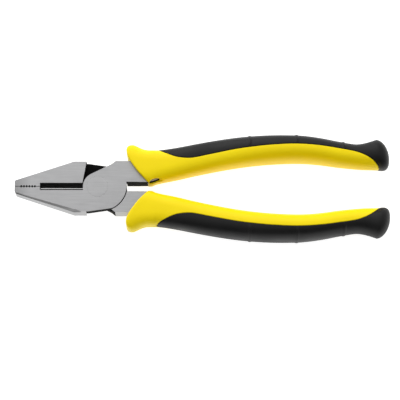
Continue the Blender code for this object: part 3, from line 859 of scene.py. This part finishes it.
class Finish:
    """A Principled material and the nodes that drive it."""

    def __init__(self, name, colour, roughness, metallic, specular):
        """Make the material with its plain values."""
        self.material = bpy.data.materials.new(name)
        self.material.use_nodes = True
        self.tree = self.material.node_tree
        self.shader = self.tree.nodes["Principled BSDF"]
        self.shader.inputs["Base Color"].default_value = (*colour, 1.0)
        self.shader.inputs["Roughness"].default_value = roughness
        self.shader.inputs["Metallic"].default_value = metallic
        self.shader.inputs["Specular IOR Level"].default_value = specular
        self.place = self.tree.nodes.new("ShaderNodeTexCoord").outputs["Object"]

    def grain(self, scale, detail=2.0, roughness=0.5):
        """Noise whose cells are 1 / scale metres; a scale for each axis stretches them."""
        mapping = self.tree.nodes.new("ShaderNodeMapping")
        mapping.inputs["Scale"].default_value = scale if isinstance(scale, tuple) else (scale,) * 3
        noise = self.tree.nodes.new("ShaderNodeTexNoise")
        noise.inputs["Scale"].default_value = 1.0
        noise.inputs["Detail"].default_value = detail
        noise.inputs["Roughness"].default_value = roughness
        self.tree.links.new(self.place, mapping.inputs["Vector"])
        self.tree.links.new(mapping.outputs["Vector"], noise.inputs["Vector"])
        return noise.outputs["Fac"]

    def along(self, axis, start, end):
        """A ramp from 0 to 1 between two places on an axis, in millimetres."""
        split = self.tree.nodes.new("ShaderNodeSeparateXYZ")
        self.tree.links.new(self.place, split.inputs["Vector"])
        return self.spread(split.outputs[axis], 0.0, 1.0, start * MM, end * MM)

    def spread(self, source, low, high, start=0.3, end=0.7):
        """Map a source from start..end to low..high."""
        remap = self.tree.nodes.new("ShaderNodeMapRange")
        remap.inputs["From Min"].default_value = start
        remap.inputs["From Max"].default_value = end
        remap.inputs["To Min"].default_value = low
        remap.inputs["To Max"].default_value = high
        self.tree.links.new(source, remap.inputs["Value"])
        return remap.outputs["Result"]

    def blend(self, factor, first, second):
        """Mix two colours, each a colour or a socket."""
        mix = self.tree.nodes.new("ShaderNodeMix")
        mix.data_type = "RGBA"
        self.tree.links.new(factor, mix.inputs["Factor"])
        ends = [socket for socket in mix.inputs if socket.type == "RGBA"]
        for socket, colour in zip(ends, (first, second)):
            if isinstance(colour, tuple):
                socket.default_value = (*colour, 1.0)
            else:
                self.tree.links.new(colour, socket)
        return [socket for socket in mix.outputs if socket.type == "RGBA"][0]

    def drive(self, socket_name, source):
        """Feed a shader input."""
        self.tree.links.new(source, self.shader.inputs[socket_name])

    def relief(self, layers):
        """Stack bumps of (height source, strength, depth in millimetres)."""
        normal = None
        for source, strength, depth in layers:
            bump = self.tree.nodes.new("ShaderNodeBump")
            bump.inputs["Strength"].default_value = strength
            bump.inputs["Distance"].default_value = depth * MM
            self.tree.links.new(source, bump.inputs["Height"])
            if normal is not None:
                self.tree.links.new(normal, bump.inputs["Normal"])
            normal = bump.outputs["Normal"]
        self.tree.links.new(normal, self.shader.inputs["Normal"])


def ground_steel(name, darker, brighter):
    """Steel ground lengthwise: fine streaks, faint clouding, and darker towards the nose."""
    finish = Finish(name, brighter, roughness=0.36, metallic=1.0, specular=0.5)
    streaks = finish.grain((90.0, 5200.0, 5200.0), 3.0, 0.6)
    clouds = finish.grain(90.0, 3.0)
    base = finish.blend(finish.spread(streaks, 0.0, 1.0), darker, brighter)
    darkened = tuple(value * NOSE_DARKENING for value in darker)
    nose = finish.blend(finish.along("X", NOSE_X, NOSE_X + NOSE_DARKENING_LENGTH), darkened, base)
    clouded = finish.blend(finish.spread(clouds, 0.0, 0.22, 0.45, 0.75), nose, darkened)
    finish.drive("Base Color", clouded)
    finish.drive("Roughness", finish.spread(streaks, 0.30, 0.44))
    finish.relief([(streaks, 0.12, 0.02)])
    return finish.material


def forged_steel(name):
    """Black oxide left on the faces that aren't ground."""
    finish = Finish(name, (0.004, 0.004, 0.004), roughness=0.7, metallic=0.0, specular=0.05)
    scale_marks = finish.grain(700.0, 4.0, 0.6)
    patches = finish.spread(scale_marks, 0.0, 1.0)
    colour = finish.blend(patches, (0.002, 0.002, 0.002), (0.007, 0.007, 0.007))
    finish.drive("Base Color", colour)
    finish.drive("Roughness", finish.spread(scale_marks, 0.65, 0.80))
    finish.relief([(scale_marks, 0.25, 0.05)])
    return finish.material


def highlight_edge_steel(name):
    """Brighter steel for the rounded edges: a painted highlight."""
    finish = Finish(name, (0.62, 0.62, 0.63), roughness=0.28, metallic=1.0, specular=0.5)
    highlight_grain = finish.grain(900.0, 3.0)
    colour = finish.blend(finish.spread(highlight_grain, 0.0, 1.0), (0.46, 0.46, 0.47), (0.70, 0.70, 0.71))
    finish.drive("Base Color", colour)
    finish.drive("Roughness", finish.spread(highlight_grain, 0.22, 0.38))
    return finish.material


def yellow_plastic(name):
    """Moulded yellow plastic with a satin, very finely textured surface."""
    finish = Finish(name, (0.97, 0.75, 0.002), roughness=0.42, metallic=0.0, specular=0.16)
    grain = finish.grain(4200.0, 2.0)
    flow = finish.grain(45.0, 3.0)
    colour = finish.blend(finish.spread(flow, 0.0, 1.0), (0.95, 0.73, 0.002), (0.99, 0.78, 0.002))
    finish.drive("Base Color", colour)
    finish.drive("Roughness", finish.spread(grain, 0.36, 0.50))
    finish.relief([(flow, 0.05, 0.4), (grain, 0.08, 0.03)])
    return finish.material


def black_rubber(name):
    """Soft black overmold with a matt grain, polished a little where a hand rubs it."""
    finish = Finish(name, (0.003, 0.003, 0.003), roughness=0.6, metallic=0.0, specular=0.26)
    grain = finish.grain(3200.0, 2.0, 0.6)
    rub = finish.grain(60.0, 3.0)
    colour = finish.blend(finish.spread(rub, 0.0, 1.0), (0.002, 0.002, 0.002), (0.004, 0.004, 0.004))
    finish.drive("Base Color", colour)
    finish.drive("Roughness", finish.spread(rub, 0.44, 0.58))
    finish.relief([(rub, 0.04, 0.5), (grain, 0.22, 0.05)])
    return finish.material


def floor_paint(name):
    """Plain white floor that glows a little, so that it stays pale under the object."""
    finish = Finish(name, (0.5, 0.5, 0.5), roughness=0.9, metallic=0.0, specular=0.0)
    clouds = finish.grain(2.0, 2.0)
    finish.drive("Base Color", finish.blend(clouds, (0.49, 0.49, 0.49), (0.51, 0.51, 0.51)))
    finish.shader.inputs["Emission Color"].default_value = (1.0, 1.0, 1.0, 1.0)
    finish.shader.inputs["Emission Strength"].default_value = FLOOR_GLOW
    return finish.material


# Scene


def half_matrix(half):
    """Where a half's own frame sits in the object's frame."""
    turn = Matrix.Rotation(math.pi, 4, "X") if half == "b" else Matrix.Identity(4)
    return Matrix.Translation((0.0, 0.0, PIVOT_HEIGHT)) @ turn


def shade(piece):
    """Shade round stretches smooth and keep corners sharp."""
    piece.data.shade_smooth()
    piece.data.set_sharp_from_angle(angle=math.radians(EDGE_ANGLE))


def place_pair(piece, node):
    """Put a piece on half A and its twin on half B, each in the place of its CAD node."""
    name = piece.name
    twin = piece.copy()
    twin.data = piece.data.copy()
    bpy.context.scene.collection.objects.link(twin)
    for half, part in (("a", piece), ("b", twin)):
        part.name = f"{name}_{half}"
        part.matrix_world = half_matrix(half)
        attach(part, f"half_{half}")
        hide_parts(f"{node}_{half}")


def add_object():
    """Build every piece of the pliers."""
    ground = ground_steel("ground_steel", *GROUND_COLOURS)
    forged = forged_steel("forged_steel")
    # Brighter steel on the rounded edges: a painted highlight
    edge_highlight = highlight_edge_steel("highlight_edges")
    # Ground steel drawn darker, as painted shade on the jaw bevels and in the cutter slot
    shaded_facets = ground_steel("painted_shade_steel", *SHADED_FACET_COLOURS)

    half = make_steel_half("forging")
    finish_steel(half, (ground, forged, edge_highlight, shaded_facets))
    place_pair(half, "steel_half")

    black_start = first_base(FAN_START, BLACK_START_LIMIT, 0.0, GROOVE_HALF_WIDTH)
    yellow_end = first_base(YELLOW_END_LIMIT, KNOB_END, math.pi, -GROOVE_HALF_WIDTH)
    bases = grip_bases(black_start, yellow_end)
    sleeve = make_sleeve("guarded_sleeve", bases, yellow_end)
    sleeve.data.materials.append(yellow_plastic("yellow_plastic"))
    shade(sleeve)
    place_pair(sleeve, "grip_sleeve")
    overmold = make_overmold("soft_overmold", bases, black_start)
    overmold.data.materials.append(black_rubber("black_rubber"))
    shade(overmold)
    place_pair(overmold, "grip_overmold")

    rivet = make_rivet("flush_rivet")
    rivet.data.materials.append(ground_steel("rivet_steel", *GROUND_COLOURS))
    shade(rivet)
    rivet.matrix_world = half_matrix("a")
    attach(rivet, "half_a")
    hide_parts("pivot_rivet")


def add_floor():
    """Lay the floor under the lowest point."""
    reach = FLOOR_SIZE / 2 * MM
    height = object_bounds()[0].z
    mesh = bpy.data.meshes.new("floor")
    corners = [(x * reach, y * reach, height) for x, y in ((-1, -1), (1, -1), (1, 1), (-1, 1))]
    mesh.from_pydata(corners, [], [(0, 1, 2, 3)])
    mesh.materials.append(floor_paint("floor_paint"))
    mesh_object("floor", mesh)


def add_light(name, place, size, power, aim):
    """Add a soft square light that faces a point; lengths are in metres."""
    light = bpy.data.lights.new(name, "AREA")
    light.shape = "SQUARE"
    light.size = size
    light.energy = power
    lamp = bpy.data.objects.new(name, light)
    lamp.location = place
    lamp.rotation_euler = (Vector(aim) - Vector(place)).to_track_quat("-Z", "Y").to_euler()
    bpy.context.scene.collection.objects.link(lamp)


def add_world():
    """A white studio whose camera side is dimmer; the backdrop itself stays pale."""
    world = bpy.data.worlds.new("studio")
    bpy.context.scene.world = world
    world.use_nodes = True
    tree = world.node_tree
    background = tree.nodes["Background"]
    direction = tree.nodes.new("ShaderNodeTexCoord")
    split = tree.nodes.new("ShaderNodeSeparateXYZ")
    ramp = tree.nodes.new("ShaderNodeMapRange")
    ramp.inputs["From Min"].default_value = STUDIO_DIM_Y
    ramp.inputs["From Max"].default_value = STUDIO_BRIGHT_Y
    ramp.inputs["To Min"].default_value = STUDIO_DIM
    ramp.inputs["To Max"].default_value = STUDIO_BRIGHT
    backdrop = tree.nodes.new("ShaderNodeBackground")
    backdrop.inputs["Strength"].default_value = 1.0
    backdrop.inputs["Color"].default_value = (1.0, 1.0, 1.0, 1.0)
    background.inputs["Color"].default_value = (1.0, 1.0, 1.0, 1.0)
    path = tree.nodes.new("ShaderNodeLightPath")
    choice = tree.nodes.new("ShaderNodeMixShader")
    tree.links.new(direction.outputs["Generated"], split.inputs["Vector"])
    tree.links.new(split.outputs["Y"], ramp.inputs["Value"])
    tree.links.new(ramp.outputs["Result"], background.inputs["Strength"])
    tree.links.new(path.outputs["Is Camera Ray"], choice.inputs["Fac"])
    tree.links.new(background.outputs["Background"], choice.inputs[1])
    tree.links.new(backdrop.outputs["Background"], choice.inputs[2])
    tree.links.new(choice.outputs["Shader"], tree.nodes["World Output"].inputs["Surface"])


def add_camera():
    """A long lens looking steeply down at the pliers."""
    camera = bpy.data.cameras.new("camera")
    camera.sensor_width = SENSOR_WIDTH
    camera.lens = SENSOR_WIDTH * CAMERA_DISTANCE / VIEW_WIDTH
    eye = bpy.data.objects.new("camera", camera)
    elevation = math.radians(CAMERA_ELEVATION)
    back = Vector((0.0, -math.cos(elevation), math.sin(elevation)))
    aim = Vector((CAMERA_AIM[0] * MM, CAMERA_AIM[1] * MM, PIVOT_HEIGHT))
    eye.location = aim + back * CAMERA_DISTANCE * MM
    roll = Matrix.Rotation(math.radians(CAMERA_ROLL), 3, "Z")
    eye.rotation_euler = ((-back).to_track_quat("-Z", "Y").to_matrix() @ roll).to_euler()
    bpy.context.scene.collection.objects.link(eye)
    bpy.context.scene.camera = eye


add_object()
add_floor()
add_world()
add_light("key", KEY_PLACE, KEY_SIZE, KEY_POWER, (CAMERA_AIM[0] * MM, 0.0, 0.0))
add_camera()
bpy.context.scene.view_settings.view_transform = "Standard"
